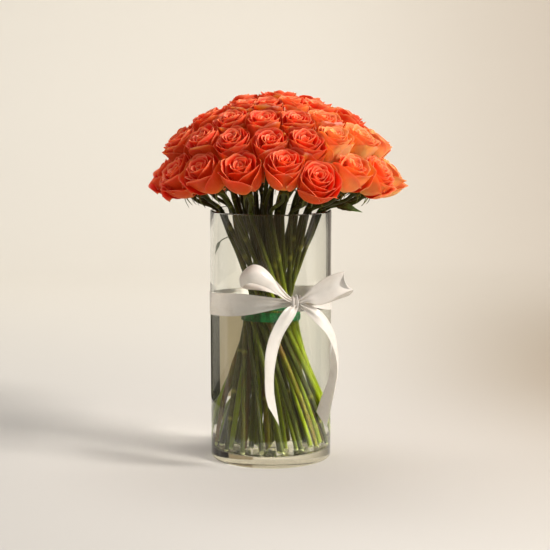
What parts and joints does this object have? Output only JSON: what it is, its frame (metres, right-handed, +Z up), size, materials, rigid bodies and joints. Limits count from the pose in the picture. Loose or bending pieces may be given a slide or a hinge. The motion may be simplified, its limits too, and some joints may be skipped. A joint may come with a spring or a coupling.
{
  "type": "roses in a vase",
  "caption": "Domed hand-tied bouquet of orange roses standing in water in a clear glass cylinder vase that is tied with a white satin ribbon bow.",
  "frame": {"origin": "centre of the flat underside of the vase, on the surface that it stands on", "axes": "+Z up along the vase's axis; -Y to the front, where the bow is; +X to the right as seen from the front"},
  "size_m": [0.3074, 0.2987, 0.4502],
  "materials": {
    "clear_glass": "clear soda-lime glass, polished, with a thick base",
    "water": "clear still water",
    "stem_green": "living stems, sepals and leaves: semi-matte green, waxy, brownish in places",
    "tape_green": "crepe floral tape, green, slightly shiny",
    "satin": "double-faced satin, white, soft anisotropic shine",
    "petals_red_orange": "rose petals, velvety, saturated red-orange with paler rims",
    "petals_orange": "rose petals, velvety, saturated orange with paler rims",
    "petals_deep_orange": "rose petals, velvety, deep red-orange with paler rims",
    "petals_light_orange": "rose petals, velvety, light orange with paler rims"
  },
  "bodies": {
    "root": {"vase": "clear_glass", "water": "water", "stem_bundle": "stem_green", "tie_tape": "tape_green", "ribbon_band": "satin", "ribbon_bow": "satin", "rose_01": "petals_red_orange", "rose_02": "petals_orange", "rose_03": "petals_deep_orange", "rose_04": "petals_light_orange", "rose_05": "petals_red_orange", "rose_06": "petals_orange", "rose_07": "petals_deep_orange", "rose_08": "petals_light_orange", "rose_09": "petals_red_orange", "rose_10": "petals_orange", "rose_11": "petals_deep_orange", "rose_12": "petals_light_orange", "rose_13": "petals_red_orange", "rose_14": "petals_orange", "rose_15": "petals_deep_orange", "rose_16": "petals_light_orange", "rose_17": "petals_red_orange", "rose_18": "petals_orange", "rose_19": "petals_deep_orange", "rose_20": "petals_light_orange", "rose_21": "petals_red_orange", "rose_22": "petals_orange", "rose_23": "petals_deep_orange", "rose_24": "petals_light_orange", "rose_25": "petals_red_orange", "rose_26": "petals_orange", "rose_27": "petals_deep_orange", "rose_28": "petals_light_orange", "rose_29": "petals_red_orange", "rose_30": "petals_orange", "rose_31": "petals_deep_orange", "rose_32": "petals_light_orange", "rose_33": "petals_red_orange", "rose_34": "petals_orange", "rose_35": "petals_deep_orange", "rose_36": "petals_light_orange", "rose_37": "petals_red_orange", "rose_38": "petals_orange", "rose_39": "petals_deep_orange", "rose_40": "petals_light_orange", "rose_41": "petals_red_orange", "rose_42": "petals_orange", "rose_43": "petals_deep_orange", "rose_44": "petals_light_orange", "rose_45": "petals_red_orange", "rose_46": "petals_orange", "rose_47": "petals_deep_orange", "rose_48": "petals_light_orange", "rose_49": "petals_red_orange", "rose_50": "petals_orange"}
  },
  "joints": []
}
